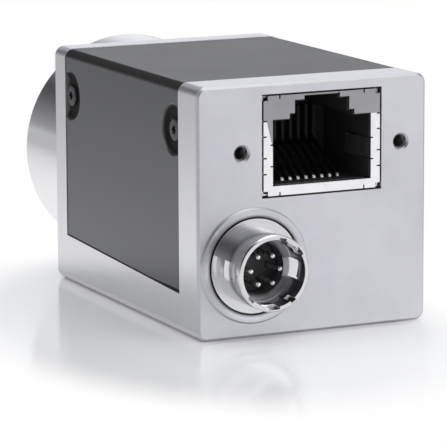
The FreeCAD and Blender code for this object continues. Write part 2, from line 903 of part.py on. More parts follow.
def connector_pins():
    """Six pins through the insert, soldered to the rear face of the small upright board."""
    span = (power_board_front + board_thickness, barrel_end - pin_tip_depth)
    return [rod(pin_radius, x, z, span) for x, z in pin_places()]


def connector_nut():
    """Thin hexagon nut in the rear plate's pocket."""
    nut = hexagon(V(round_x, nut_front, round_height), nut_corner_radius, V(0, nut_thickness, 0))
    return nut.cut(rod(round_thread_radius + thread_clearance, round_x, round_height,
                       (nut_front, nut_front + nut_thickness)))


def power_board():
    """Small upright board soldered to the connector's pins."""
    return block((round_x - power_board_half_width, round_x + power_board_half_width - fit_clearance),
                 (power_board_front, power_board_front + board_thickness),
                 (power_board_bottom, interface_bottom - power_board_top_gap))


def power_header():
    """Connector from the small upright board to the underside of the interface board."""
    half = power_header_width / 2
    return block((round_x - half, round_x + half),
                 (power_board_front - power_header_depth, power_board_front),
                 (interface_bottom - power_header_height, interface_bottom))


# ---------------------------------------------------------------- rear plate, cover, screws

def rear_plate():
    """Thick rear plate with both connector openings, boss ring, feet, ledges and tapped holes."""
    plate = rounded_plate(housing_width, (0, housing_height), (rear_plate_front, rear_face),
                          plate_corner_radius)
    plate = broken_rim(plate, rear_face, plate_edge_chamfer)
    boss = rod(boss_radius, round_x, round_height, (rear_face - boss_height, rear_face + boss_height))
    boss = broken_rim(boss, rear_face + boss_height, boss_edge_chamfer)

    # feet on the tray floor, ledges for the interface board, lugs and roof lip
    additions = [boss, top_lip((rear_plate_front - cover_lip_length, rear_plate_front))]
    additions += both_sides(block((interface_half - ledge_width, interface_half),
                                  (rear_plate_front - ledge_length, rear_plate_front),
                                  (interface_bottom - ledge_thickness, interface_bottom)))
    additions += both_sides(screw_lug((rear_plate_front - lug_depth, rear_plate_front)))
    plate = fused(plate, additions)

    # connector openings
    through = (rear_plate_front, rear_face + boss_height)
    half_jack = jack_opening_width / 2
    cuts = [block((jack_x - half_jack, jack_x + half_jack), through,
                  (jack_height - jack_opening_height / 2, jack_height + jack_opening_height / 2))]
    cuts.append(rod(round_thread_radius + thread_clearance, round_x, round_height, through))
    cuts.append(rod(flange_radius + flange_gap, round_x, round_height, (flange_back, through[1])))
    cuts.append(rod(nut_corner_radius + flange_gap, round_x, round_height,
                    (rear_plate_front, rear_plate_front + nut_pocket_depth)))

    # tapped holes: plug locking screws, cover screws, ledges and feet
    for x in (jack_x - jack_lock_spacing / 2, jack_x + jack_lock_spacing / 2):
        cuts.append(rod(jack_lock_hole_radius, x, jack_lock_height,
                        (rear_face - jack_lock_hole_depth, rear_face)))
        cuts.append(Part.makeCone(jack_lock_hole_radius, jack_lock_hole_radius + jack_lock_chamfer,
                                  jack_lock_chamfer, V(x, rear_face - jack_lock_chamfer, jack_lock_height),
                                  V(0, 1, 0)))
    cuts += both_sides(lug_hole(cover_screw_rear))
    cuts += both_sides(upright_rod(ledge_screw_radius + thread_clearance, ledge_screw_x, ledge_screw_y,
                                   (interface_bottom - ledge_thickness, interface_bottom)))
    return plate.cut(cuts)


def dish(y, x_outer):
    """Shallow cone of a screw dish, from its rim inwards."""
    return Part.makeCone(dish_floor_radius, dish_radius, dish_depth,
                         V(x_outer - dish_depth, y, cover_screw_height), V(1, 0, 0))


def top_cover():
    """Folded sheet cover: roof and two sides, with four dished and pierced screw seats."""
    y = (cover_front, cover_rear)
    outer = block((-cover_outer, cover_outer), y, (0, cover_top))
    roof_edges = [edge for edge in outer.Edges
                  if abs(edge.tangentAt(0).y) > 0.9 and edge.BoundBox.ZMin > cover_top / 2]
    outer = outer.makeFillet(cover_bend_radius, roof_edges)
    inner = block((-cover_inner, cover_inner), y, (-1, cover_top_inner))
    inner_edges = [edge for edge in inner.Edges
                   if abs(edge.tangentAt(0).y) > 0.9 and edge.BoundBox.ZMin > cover_top / 2]
    inner = inner.makeFillet(cover_bend_radius - cover_thickness, inner_edges)
    sheet = outer.cut(inner)

    # lower edges slope slightly from front to rear
    below = extruded_yz([(cover_front, -2), (cover_rear, -2),
                         (cover_rear, cover_line(cover_rear, 0)), (cover_front, cover_line(cover_front, 0))],
                        (-half_width - 1, half_width + 1))
    sheet = sheet.cut(below)

    # dished seats: the sheet is pushed in, then pierced for the screw
    within = block((0, half_width), y, (0, cover_top))
    pushed = [dish(place, cover_inner).common(within) for place in (cover_screw_front, cover_screw_rear)]
    for shape in pushed:
        sheet = sheet.fuse(both_sides(shape))
    hollows = []
    for place in (cover_screw_front, cover_screw_rear):
        hollow = dish(place, cover_outer)
        hole = Part.makeCylinder(cover_screw_radius + fit_clearance, cover_thickness + dish_depth,
                                 V(lug_face, place, cover_screw_height), V(1, 0, 0))
        hollows += both_sides(hollow) + both_sides(hole)
    return sheet.cut(hollows).removeSplitter()


def cover_screws():
    """Four low-head socket screws in the cover's dishes, two on each side."""
    screws = []
    head_top = dish_floor + cover_screw_head_height
    for place in (cover_screw_front, cover_screw_rear):
        head = Part.makeCylinder(cover_screw_head_radius, cover_screw_head_height,
                                 V(dish_floor, place, cover_screw_height), V(1, 0, 0))
        length = cover_screw_length + cover_thickness
        shank = Part.makeCylinder(cover_screw_radius, length,
                                  V(dish_floor - length, place, cover_screw_height), V(1, 0, 0))
        recess = hexagon(V(head_top - drive_recess_depth, place, cover_screw_height), drive_recess_radius,
                         V(drive_recess_depth, 0, 0))
        screws += both_sides(fused(head, [shank]).cut(recess))
    return screws


# ---------------------------------------------------------------- write every sub-part

save("front_chassis", [front_chassis()])
save("rear_plate", [rear_plate()])
save("top_cover", [top_cover()])
save("cover_screws", cover_screws())
save("lens_mount_ring", [lens_mount_ring()])
save("filter_holder", [filter_holder()])
save("infrared_filter", [infrared_filter()])
save("filter_gasket", [filter_gasket()])
save("filter_retaining_ring", [filter_retaining_ring()])
save("sensor_package", [sensor_package()])
save("sensor_die", [sensor_die()])
save("sensor_cover_glass", [sensor_cover_glass()])
save("sensor_gasket", [sensor_gasket()])
save("sensor_board", [stack_board(sensor_board_front)])
save("mezzanine_socket", [mezzanine_socket()])
save("mezzanine_plug", [mezzanine_plug()])
save("processor_board", [stack_board(processor_board_front)])
save("processor_chip", [processor_chip()])
save("thermal_pad", [thermal_pad()])
save("memory_chip", [memory_chip()])
save("board_spacers", board_spacers())
save("board_screws", board_screws())
save("interface_board", [interface_board()])
save("interface_header", [interface_header()])
save("interface_screws", interface_screws())
save("network_chip", [network_chip()])
save("jack_shield", [jack_shield()])
save("jack_housing", [jack_housing()])
save("jack_contacts", jack_contacts())
save("jack_magnetics", [jack_magnetics()])
save("connector_shell", [connector_shell()])
save("connector_insert", [connector_insert()])
save("connector_pins", connector_pins())
save("connector_nut", [connector_nut()])
save("power_board", [power_board()])
save("power_header", [power_header()])
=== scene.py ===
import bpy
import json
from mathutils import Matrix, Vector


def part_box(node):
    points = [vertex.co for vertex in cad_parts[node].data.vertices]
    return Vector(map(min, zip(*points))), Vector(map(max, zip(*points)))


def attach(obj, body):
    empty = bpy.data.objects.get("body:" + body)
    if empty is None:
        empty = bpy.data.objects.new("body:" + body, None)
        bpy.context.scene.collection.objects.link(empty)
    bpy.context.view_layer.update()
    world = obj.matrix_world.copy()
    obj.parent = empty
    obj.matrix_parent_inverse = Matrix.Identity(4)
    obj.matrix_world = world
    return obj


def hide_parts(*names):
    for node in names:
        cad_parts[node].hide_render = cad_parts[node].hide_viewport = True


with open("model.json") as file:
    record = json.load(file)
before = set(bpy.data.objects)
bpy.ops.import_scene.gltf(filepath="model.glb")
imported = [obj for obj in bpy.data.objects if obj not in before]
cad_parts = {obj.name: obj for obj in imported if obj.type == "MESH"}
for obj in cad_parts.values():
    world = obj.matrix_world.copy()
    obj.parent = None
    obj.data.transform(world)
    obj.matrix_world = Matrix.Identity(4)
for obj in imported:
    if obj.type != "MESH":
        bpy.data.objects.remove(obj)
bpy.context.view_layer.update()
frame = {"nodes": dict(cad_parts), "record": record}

import json
import math

import bpy
from mathutils import Matrix, Vector


# ------------------------------------------------------------------ viewpoint
# A long lens stands low behind the housing, turned a little to the side with the round
# connector, so that the rear face, one side and the roof all show.
view_place = Vector((0.16017, 0.33919, 0.07854))
view_azimuth = math.radians(154.924)
view_elevation = math.radians(10.494)
view_roll = math.radians(-0.282)
view_back = Vector((math.sin(view_azimuth) * math.cos(view_elevation),
                    -math.cos(view_azimuth) * math.cos(view_elevation),
                    math.sin(view_elevation)))
view_right = Vector((0, 0, 1)).cross(view_back).normalized()
view_up = view_back.cross(view_right)
rolled_right = view_right * math.cos(view_roll) + view_up * math.sin(view_roll)
rolled_up = view_up * math.cos(view_roll) - view_right * math.sin(view_roll)
view_axes = Matrix((rolled_right, rolled_up, view_back)).transposed()

bpy.ops.object.camera_add(location=view_place)
viewpoint = bpy.context.object
viewpoint.name = "viewpoint"
viewpoint.rotation_mode = "QUATERNION"
viewpoint.rotation_quaternion = view_axes.to_quaternion()
viewpoint.data.sensor_width = 36
viewpoint.data.lens = 255.97
viewpoint.data.clip_start = 0.01
viewpoint.data.clip_end = 20
bpy.context.scene.camera = viewpoint
bpy.context.scene.view_settings.view_transform = "Standard"


# ------------------------------------------------------------------ studio sky and lamps
# A product studio: white paper low down all round, dimmer walls above it, a wide soft box
# overhead and a dark flag on the connector's side, which the shiny parts mirror; three
# soft lamps light the object evenly.
def add_node(tree, kind, values=None, feeds=None, **settings):
    """One node in a tree: plain socket values, links from other sockets, its own settings."""
    node = tree.nodes.new(kind)
    for key, value in settings.items():
        setattr(node, key, value)
    for key, value in (values or {}).items():
        node.inputs[key].default_value = value
    for key, socket in (feeds or {}).items():
        tree.links.new(socket, node.inputs[key])
    return node


def ranged(tree, socket, low, high, start=0.0, end=1.0, **settings):
    """A value carried from the range start to end over to the range low to high."""
    limits = {"From Min": start, "From Max": end, "To Min": low, "To Max": high}
    return add_node(tree, "ShaderNodeMapRange", limits, {"Value": socket}, **settings).outputs[0]


def worked(tree, operation, first, second=0.0):
    """One sum on a value; its second term is a plain number or comes from a socket."""
    node = add_node(tree, "ShaderNodeMath", feeds={0: first}, operation=operation)
    if isinstance(second, float):
        node.inputs[1].default_value = second
    else:
        tree.links.new(second, node.inputs[1])
    return node.outputs[0]


def blended(tree, share, first, second):
    """A colour between two, by a share; each is plain or comes from a socket."""
    mix = add_node(tree, "ShaderNodeMix", feeds={"Factor": share}, data_type="RGBA")
    for place, colour in ((6, first), (7, second)):
        if isinstance(colour, tuple):
            mix.inputs[place].default_value = (*colour, 1)
        else:
            tree.links.new(colour, mix.inputs[place])
    return mix.outputs[2]


# each zone's height, from straight down at 0 to straight up at 1, and its brightness
sky_zones = [(0.0, 1.0), (0.62, 1.0), (0.68, 0.34), (0.80, 0.45), (0.90, 1.0), (1.0, 1.0)]
flag_near, flag_far = 0.04, 0.22
flag_low, flag_top = -0.05, 0.05
flag_foot_level, flag_head_level = 0.38, 0.05
sky_tint = (0.955, 0.965, 1.0, 1)
lamp_tint = (0.975, 0.985, 1.0, 1)

sky = bpy.data.worlds.new("studio_sky")
bpy.context.scene.world = sky
sky.use_nodes = True
sky_tree = sky.node_tree
sky_tree.nodes.clear()
sky_direction = add_node(sky_tree, "ShaderNodeTexCoord")
sky_split = add_node(sky_tree, "ShaderNodeSeparateXYZ",
                     feeds={0: sky_direction.outputs["Generated"]})
sky_x, sky_z = sky_split.outputs["X"], sky_split.outputs["Z"]
mirrored_zones = add_node(sky_tree, "ShaderNodeValToRGB",
                          feeds={"Fac": ranged(sky_tree, sky_z, 0, 1, -1, 1)})
zone_stops = mirrored_zones.color_ramp.elements
mirrored_zones.color_ramp.interpolation = "EASE"
while len(zone_stops) < len(sky_zones):
    zone_stops.new(0.5)
for stop, (height, level) in zip(zone_stops, sky_zones):
    stop.position = height
    stop.color = (level, level, level, 1)
flag_side = ranged(sky_tree, sky_x, 0, 1, flag_near, flag_far, interpolation_type="SMOOTHSTEP")
flag_foot = ranged(sky_tree, sky_z, 0, 1, flag_low, flag_top, interpolation_type="SMOOTHSTEP")
flag_share = worked(sky_tree, "MULTIPLY", flag_side, flag_foot)
flag_level = ranged(sky_tree, sky_z, flag_foot_level, flag_head_level, 0.03, 0.30)
flagged_zones = blended(sky_tree, flag_share, mirrored_zones.outputs["Color"], flag_level)
cool_zones = add_node(sky_tree, "ShaderNodeMix", {"Factor": 1.0, 7: sky_tint},
                      {6: flagged_zones}, data_type="RGBA", blend_type="MULTIPLY")
mirrored_sky = add_node(sky_tree, "ShaderNodeBackground", feeds={"Color": cool_zones.outputs[2]})
lit_sky = add_node(sky_tree, "ShaderNodeBackground", {"Color": lamp_tint, "Strength": 0.66})
white_sky = add_node(sky_tree, "ShaderNodeBackground", {"Color": (1, 1, 1, 1)})
sky_ray = add_node(sky_tree, "ShaderNodeLightPath")
glossy_choice = add_node(sky_tree, "ShaderNodeMixShader",
                         feeds={0: sky_ray.outputs["Is Glossy Ray"], 1: lit_sky.outputs[0],
                                2: mirrored_sky.outputs[0]})
seen_ray = worked(sky_tree, "MAXIMUM", sky_ray.outputs["Is Camera Ray"],
                  sky_ray.outputs["Is Transmission Ray"])
seen_choice = add_node(sky_tree, "ShaderNodeMixShader",
                       feeds={0: seen_ray, 1: glossy_choice.outputs[0], 2: white_sky.outputs[0]})
add_node(sky_tree, "ShaderNodeOutputWorld", feeds={"Surface": seen_choice.outputs[0]})

# name, place, width in metres, power in watts
soft_lamps = [
    ("overhead_lamp", (-0.05, 0.02, 0.75), 0.7, 1.5),
    ("rear_lamp", (-0.45, 0.50, 0.16), 0.30, 1.0),
    ("side_lamp", (0.9, -0.15, 0.45), 0.5, 1.8),
]
lamp_aim = Vector((0, 0, 0.0145))
for name, place, size, power in soft_lamps:
    bpy.ops.object.light_add(type="AREA", location=place)
    lamp = bpy.context.object
    lamp.name = name
    lamp.data.shape = "SQUARE"
    lamp.data.size = size
    lamp.data.energy = power
    lamp.rotation_mode = "QUATERNION"
    lamp.rotation_quaternion = (Vector(place) - lamp_aim).to_track_quat("Z", "Y")


# ------------------------------------------------------------------ table
# Glossy white acrylic sheet under the camera; it keeps a soft shadow and a faint mirror
# image of the housing, and fades to plain white over an oval round them.
def new_material(name, colour, metallic=0.0, roughness=0.5, **values):
    """A material with plain values on its shader; returns the material, its tree and shader."""
    material = bpy.data.materials.new(name)
    material.use_nodes = True
    shader = material.node_tree.nodes["Principled BSDF"]
    shader.inputs["Base Color"].default_value = (*colour, 1)
    shader.inputs["Metallic"].default_value = metallic
    shader.inputs["Roughness"].default_value = roughness
    for key, value in values.items():
        shader.inputs[key.replace("_", " ")].default_value = value
    return material, material.node_tree, shader


table_drop = 0.00001
table_oval = {"Location": (-0.010, -0.0075, 0), "Scale": (1, 0.625, 1)}
fade_start, fade_end = 0.0205, 0.031
far_start, far_end, far_level = 0.04, 0.13, 0.56
bpy.ops.object.select_all(action="DESELECT")
bpy.ops.mesh.primitive_plane_add(size=6, location=(0, 0, -table_drop))
table_top = bpy.context.object
table_top.name = "table_top"
bpy.ops.object.transform_apply(location=True, rotation=False, scale=False)
white_acrylic, acrylic_tree, acrylic_shader = new_material("white_acrylic", (0.97, 0.97, 0.975),
                                                           roughness=0.13)
acrylic_place = add_node(acrylic_tree, "ShaderNodeTexCoord")
acrylic_oval = add_node(acrylic_tree, "ShaderNodeMapping", table_oval,
                        {"Vector": acrylic_place.outputs["Object"]})
acrylic_length = add_node(acrylic_tree, "ShaderNodeVectorMath", operation="LENGTH",
                          feeds={0: acrylic_oval.outputs["Vector"]})
acrylic_reach = acrylic_length.outputs["Value"]
acrylic_fade = ranged(acrylic_tree, acrylic_reach, 0, 1, fade_start, fade_end,
                      interpolation_type="SMOOTHSTEP")
acrylic_ray = add_node(acrylic_tree, "ShaderNodeLightPath")
camera_ray = acrylic_ray.outputs["Is Camera Ray"]
acrylic_seen = worked(acrylic_tree, "MAXIMUM", camera_ray, acrylic_ray.outputs["Is Glossy Ray"])
acrylic_share = worked(acrylic_tree, "MULTIPLY", acrylic_fade, acrylic_seen)
acrylic_far = ranged(acrylic_tree, acrylic_reach, 1.0, far_level, far_start, far_end)
acrylic_level = worked(acrylic_tree, "MAXIMUM", camera_ray, acrylic_far)
acrylic_white = add_node(acrylic_tree, "ShaderNodeEmission", {"Color": (1, 1, 1, 1)},
                         {"Strength": acrylic_level})
acrylic_mix = add_node(acrylic_tree, "ShaderNodeMixShader",
                       feeds={0: acrylic_share, 1: acrylic_shader.outputs[0],
                              2: acrylic_white.outputs[0]})
acrylic_tree.links.new(acrylic_mix.outputs[0],
                       acrylic_tree.nodes["Material Output"].inputs["Surface"])
table_top.data.materials.append(white_acrylic)


# ------------------------------------------------------------------ front casting
# Die-cast aluminium front plate with the tray that carries the boards, bead blasted and
# clear coated, with its end faces milled; the lens ring is pressed into its seat.
MM = 0.001
nodes = frame["nodes"]


def value_group(name, inputs, outputs):
    """An empty shader node group; returns the group, its input node and its output node."""
    group = bpy.data.node_groups.new(name, "ShaderNodeTree")
    for label, level in inputs:
        socket = group.interface.new_socket(name=label, in_out="INPUT",
                                            socket_type="NodeSocketFloat")
        socket.default_value = level
    for label in outputs:
        group.interface.new_socket(name=label, in_out="OUTPUT", socket_type="NodeSocketFloat")
    return group, add_node(group, "NodeGroupInput"), add_node(group, "NodeGroupOutput")


# blasted or powdered skin: a fine grain for relief and a broad, slow change of tone
grain_group, grain_in, grain_out = value_group("fine_grain",
                                               [("Grains", 4000), ("Patches", 120)],
                                               ["Height", "Tone"])
grain_place = add_node(grain_group, "ShaderNodeTexCoord")
grain_noise = add_node(grain_group, "ShaderNodeTexNoise", {"Detail": 3.0, "Roughness": 0.6},
                       {"Vector": grain_place.outputs["Object"],
                        "Scale": grain_in.outputs["Grains"]})
patch_noise = add_node(grain_group, "ShaderNodeTexNoise", {"Detail": 5.0, "Roughness": 0.62},
                       {"Vector": grain_place.outputs["Object"],
                        "Scale": grain_in.outputs["Patches"]})
grain_group.links.new(grain_noise.outputs["Fac"], grain_out.inputs["Height"])
grain_group.links.new(patch_noise.outputs["Fac"], grain_out.inputs["Tone"])
tone_low, tone_high = 0.3, 0.7


def place_group(tree, group, **values):
    """One use of a node group in a material, with its own values."""
    used = add_node(tree, "ShaderNodeGroup", node_tree=group)
    for key, value in values.items():
        used.inputs[key].default_value = value
    return used


def toned(tree, grain, low, high):
    """A value between two, by the grain's slow change of tone."""
    return ranged(tree, grain.outputs["Tone"], low, high, tone_low, tone_high)


def levelled(tree, share, first, level):
    """A value that goes from a socket's to a plain level, by a share."""
    return add_node(tree, "ShaderNodeMix", {3: level}, {0: share, 2: first}).outputs[0]


def raised(tree, shader, height, strength, depth):
    """Relief on a shader, from a height."""
    bump = add_node(tree, "ShaderNodeBump", {"Strength": strength, "Distance": depth},
                    {"Height": height})
    tree.links.new(bump.outputs[0], shader.inputs["Normal"])


cast_silver, silver_tree, silver_shader = new_material("cast_silver", (0.53, 0.535, 0.555),
                                                       0.85, 0.4)
silver_grain = place_group(silver_tree, grain_group, Grains=5200, Patches=95)
silver_patch = toned(silver_tree, silver_grain, 0, 1)
silver_place = add_node(silver_tree, "ShaderNodeTexCoord")
silver_facing = add_node(silver_tree, "ShaderNodeSeparateXYZ",
                         feeds={0: silver_place.outputs["Normal"]})
silver_ends = worked(silver_tree, "ABSOLUTE", silver_facing.outputs["Y"])
milled_share = ranged(silver_tree, silver_ends, 1, 0, 0.15, 0.6)
blasted_skin = blended(silver_tree, silver_patch, (0.53, 0.532, 0.56), (0.605, 0.607, 0.638))
silver_colour = blended(silver_tree, milled_share, blasted_skin, (0.68, 0.682, 0.71))
silver_tree.links.new(silver_colour, silver_shader.inputs["Base Color"])
blasted_sheen = ranged(silver_tree, silver_patch, 0.34, 0.46)
milled_sheen = 0.22
silver_tree.links.new(levelled(silver_tree, milled_share, blasted_sheen, milled_sheen),
                      silver_shader.inputs["Roughness"])
raised(silver_tree, silver_shader, silver_grain.outputs["Height"], 0.35, 0.02 * MM)


def clothe(piece, material):
    """Give one piece its material."""
    piece.data.materials.clear()
    piece.data.materials.append(material)


def edit_only(piece):
    """Select one piece alone and open it for editing, with all of it selected."""
    bpy.ops.object.select_all(action="DESELECT")
    piece.select_set(True)
    bpy.context.view_layer.objects.active = piece
    bpy.ops.object.mode_set(mode="EDIT")
    bpy.ops.mesh.select_all(action="SELECT")


def modified(piece, kind, **settings):
    """Put one modifier on the active piece, with its settings, and apply it."""
    bpy.ops.object.modifier_add(type=kind)
    modifier = piece.modifiers[-1]
    for key, value in settings.items():
        setattr(modifier, key, value)
    bpy.ops.object.modifier_apply(modifier=modifier.name)


def softened_copy(node, width):
    """A copy of a CAD node with its sharp edges slightly rounded; it stands for that node."""
    copy = bpy.data.objects.new(node + "_finished", nodes[node].data.copy())
    bpy.context.scene.collection.objects.link(copy)
    edit_only(copy)
    bpy.ops.mesh.remove_doubles(threshold=0.001 * MM)
    bpy.ops.mesh.dissolve_limited(angle_limit=math.radians(0.5))
    bpy.ops.object.mode_set(mode="OBJECT")
    modified(copy, "BEVEL", width=width, segments=2, limit_method="ANGLE",
             angle_limit=math.radians(35), miter_outer="MITER_ARC")
    bpy.ops.object.shade_smooth_by_angle(angle=math.radians(60))
    modified(copy, "WEIGHTED_NORMAL", mode="FACE_AREA", weight=100, keep_sharp=True)
    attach(copy, "root")
    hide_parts(node)
    return copy


clothe(softened_copy("front_chassis", 0.1 * MM), cast_silver)


def copied(piece, name, place, turn=0.0):
    """A copy of a piece made at the origin, with its own mesh, turned round Z and placed."""
    bpy.ops.object.select_all(action="DESELECT")
    piece.select_set(True)
    bpy.context.view_layer.objects.active = piece
    bpy.ops.object.duplicate(linked=False)
    copy = bpy.context.object
    copy.name = name
    copy.rotation_mode = "XYZ"
    copy.rotation_euler = (0, 0, turn)
    copy.location = place
    bpy.ops.object.transform_apply(location=True, rotation=True, scale=True)
    return copy


# tapped holes: the thread's crest is a small wedge wound round the hole's wall
def screw_threads(named_places, axis, radius, pitch, turns):
    """The threads of like holes: one is wound along its axis and copied to each place."""
    bpy.ops.object.select_all(action="DESELECT")
    bpy.ops.mesh.primitive_circle_add(vertices=3, radius=pitch * 0.42,
                                      rotation=(math.pi / 2, 0, 0),
                                      location=(radius - pitch * 0.05, 0, 0))
    thread = bpy.context.object
    bpy.ops.object.transform_apply(location=True, rotation=True, scale=True)
    modified(thread, "SCREW", axis="Z", screw_offset=pitch, iterations=turns, steps=28,
             render_steps=28, use_smooth_shade=True)
    edit_only(thread)
    bpy.ops.mesh.normals_make_consistent(inside=False)
    bpy.ops.object.mode_set(mode="OBJECT")
    thread.rotation_mode = "QUATERNION"
    thread.rotation_quaternion = Vector(axis).to_track_quat("Z", "Y")
    bpy.ops.object.transform_apply(location=True, rotation=True, scale=True)
    clothe(thread, cut_thread)
    for name, place in named_places:
        cut = copied(thread, name, place)
        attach(cut, "root")
    bpy.data.objects.remove(thread)


def grained(name, colour, metallic, roughness, grain, tones=None, sheen=None, relief=None,
            **values):
    """A material on the fine grain, with any of two tones, a range of roughness and a relief."""
    material, tree, shader = new_material(name, colour, metallic, roughness, **values)
    skin = place_group(tree, grain_group, Grains=grain[0], Patches=grain[1])
    if tones:
        tree.links.new(blended(tree, skin.outputs["Tone"], *tones), shader.inputs["Base Color"])
    if sheen:
        tree.links.new(toned(tree, skin, *sheen), shader.inputs["Roughness"])
    if relief:
        raised(tree, shader, skin.outputs["Height"], *relief)
    return material


cut_thread = grained("cut_thread", (0.2, 0.2, 0.21), 0.9, 0.35, (6000, 900),
                     tones=((0.12, 0.12, 0.125), (0.3, 0.3, 0.31)))
base_pitch = 0.5 * MM
base_turns = 5
base_start = 0.35 * MM
base_threads = []
for mount in frame["record"]["mounts"]:
    if not mount["name"].startswith("base_"):
        continue
    spread = mount["dims"].get("spacing_x_mm", 0) * MM / 2
    base_radius = mount["dims"].get("hole_r_mm", mount["dims"].get("r_mm")) * MM
    for side in ((-1, 1) if spread else (0,)):
        base_place = Vector(mount["pos_m"]) + Vector((spread * side, 0, base_start))
        base_threads.append((f"{mount['name']}_thread_{side + 1}", base_place))
screw_threads(base_threads, (0, 0, 1), base_radius, base_pitch, base_turns)


# ------------------------------------------------------------------ lens mount ring
# Aluminium ring turned on a lathe and clear anodised, with a one-inch lens thread and a
# relief groove behind it; it is pressed into the front plate.
def spun_wall(name, axis, first, stations, segments):
    """A closed wall turned round a Y axis, from a first (radius, y) on to each station."""
    bpy.ops.object.select_all(action="DESELECT")
    bpy.ops.mesh.primitive_circle_add(vertices=segments, radius=first[0],
                                      rotation=(math.pi / 2, 0, 0),
                                      location=(axis[0], first[1], axis[1]))
    wall = bpy.context.object
    wall.name = name
    bpy.ops.object.transform_apply(location=True, rotation=True, scale=True)
    edit_only(wall)
    last = first
    for radius, y in stations:
        bpy.ops.mesh.extrude_region_move(TRANSFORM_OT_translate={"value": (0, y - last[1], 0)})
        growth = radius / last[0]
        bpy.ops.transform.resize(value=(growth, 1, growth), center_override=(axis[0], y, axis[1]))
        last = (radius, y)
    bpy.ops.mesh.select_all(action="SELECT")
    bpy.ops.mesh.region_to_loop()
    bpy.ops.mesh.bridge_edge_loops()
    bpy.ops.mesh.select_all(action="SELECT")
    bpy.ops.mesh.normals_make_consistent(inside=False)
    bpy.ops.object.mode_set(mode="OBJECT")
    bpy.ops.object.shade_smooth_by_angle(angle=math.radians(28))
    return wall


ring_low, ring_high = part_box("lens_mount_ring")
ring_axis = (0, (ring_low.z + ring_high.z) / 2)
ring_outer = (ring_high.x - ring_low.x) / 2
plate_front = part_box("front_chassis")[0].y
thread_crest = 12.33 * MM
thread_valley = 12.68 * MM
thread_pitch = 0.794 * MM
thread_turns = 6
spigot_outer = 12.9 * MM
ring_bore = 11.6 * MM
edge_break = 0.05 * MM
rim_chamfer = 0.38 * MM
rim_crown = 0.31 * MM
rim_inset = 0.03 * MM
rim_margin = 0.06 * MM
groove_depth = 5.9 * MM
ring_stations = [
    (spigot_outer, plate_front),
    (ring_outer - edge_break, plate_front),
    (ring_outer, plate_front - edge_break),
    (ring_outer, ring_low.y + rim_chamfer + rim_margin),
    (ring_outer, ring_low.y + rim_chamfer),
    (ring_outer - rim_inset, ring_low.y + rim_crown),
    (ring_outer - rim_crown, ring_low.y + rim_inset),
    (ring_outer - rim_chamfer, ring_low.y),
    (thread_valley + edge_break, ring_low.y),
    (thread_valley, ring_low.y + edge_break),
]
for turn in range(thread_turns):
    start = ring_low.y + 2 * edge_break + turn * thread_pitch
    ring_stations += [(thread_crest, start + thread_pitch * 0.42),
                      (thread_crest, start + thread_pitch * 0.56),
                      (thread_valley, start + thread_pitch * 0.96)]
groove_end = ring_low.y + groove_depth
ring_stations += [(thread_valley, groove_end), (ring_bore, groove_end),
                  (ring_bore, ring_high.y)]
lens_ring = spun_wall("lens_ring_turned", ring_axis, (spigot_outer, ring_high.y),
                      ring_stations, 160)


def object_parts(tree):
    """A point's X, Y and Z on the object."""
    place = add_node(tree, "ShaderNodeTexCoord")
    return add_node(tree, "ShaderNodeSeparateXYZ", feeds={0: place.outputs["Object"]}).outputs


# lathe finish: fine rings along the axis and across the faces
lathe_group, lathe_in, lathe_out = value_group("lathe_rings",
                                               [("Across", 0.0), ("Up", 0.0),
                                                ("Fineness", 9000)], ["Height"])
lathe_parts = object_parts(lathe_group)
lathe_x = worked(lathe_group, "SUBTRACT", lathe_parts["X"], lathe_in.outputs["Across"])
lathe_z = worked(lathe_group, "SUBTRACT", lathe_parts["Z"], lathe_in.outputs["Up"])
lathe_flat = add_node(lathe_group, "ShaderNodeCombineXYZ", feeds={0: lathe_x, 1: lathe_z})
lathe_radius = add_node(lathe_group, "ShaderNodeVectorMath", operation="LENGTH",
                        feeds={0: lathe_flat.outputs[0]})
lathe_along = worked(lathe_group, "ADD", lathe_radius.outputs["Value"], lathe_parts["Y"])
lathe_noise = add_node(lathe_group, "ShaderNodeTexNoise", {"Detail": 2.0, "Roughness": 0.7},
                       {"W": lathe_along, "Scale": lathe_in.outputs["Fineness"]},
                       noise_dimensions="1D")
lathe_group.links.new(lathe_noise.outputs["Fac"], lathe_out.inputs["Height"])

ring_aluminium, ring_tree, ring_shader = new_material("ring_aluminium", (0.8, 0.8, 0.815),
                                                      1.0, 0.26)
ring_lathe = place_group(ring_tree, lathe_group, Up=ring_axis[1], Fineness=9000)
ring_grain = place_group(ring_tree, grain_group, Grains=2500, Patches=70)
ring_tree.links.new(toned(ring_tree, ring_grain, 0.15, 0.18), ring_shader.inputs["Roughness"])
ring_tree.links.new(blended(ring_tree, ring_lathe.outputs["Height"], (0.74, 0.74, 0.76),
                            (0.84, 0.84, 0.855)), ring_shader.inputs["Base Color"])
raised(ring_tree, ring_shader, ring_lathe.outputs["Height"], 0.2, 0.004 * MM)
clothe(lens_ring, ring_aluminium)
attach(lens_ring, "root")
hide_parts("lens_mount_ring")


# ------------------------------------------------------------------ filter stack
# Black anodised holder and slotted ring that clamp a coated infrared filter, with a thin
# rubber frame between glass and holder.
black_coating = grained("black_coating", (0.018, 0.018, 0.02), 0.0, 0.42, (6000, 200),
                        sheen=(0.34, 0.55), relief=(0.3, 0.012 * MM))
clothe(softened_copy("filter_holder", 0.06 * MM), black_coating)
clothe(softened_copy("filter_retaining_ring", 0.06 * MM), black_coating)

filter_glass, glass_tree, glass_shader = new_material("filter_glass", (0.72, 0.90, 0.86), 0.0, 0.02,
                                                      Transmission_Weight=1.0, IOR=1.52)
coating_sheen = add_node(glass_tree, "ShaderNodeLayerWeight", {"Blend": 0.35})
glass_tree.links.new(blended(glass_tree, coating_sheen.outputs["Facing"], (0.66, 0.90, 0.84),
                             (0.92, 0.62, 0.60)), glass_shader.inputs["Base Color"])
clothe(nodes["infrared_filter"], filter_glass)

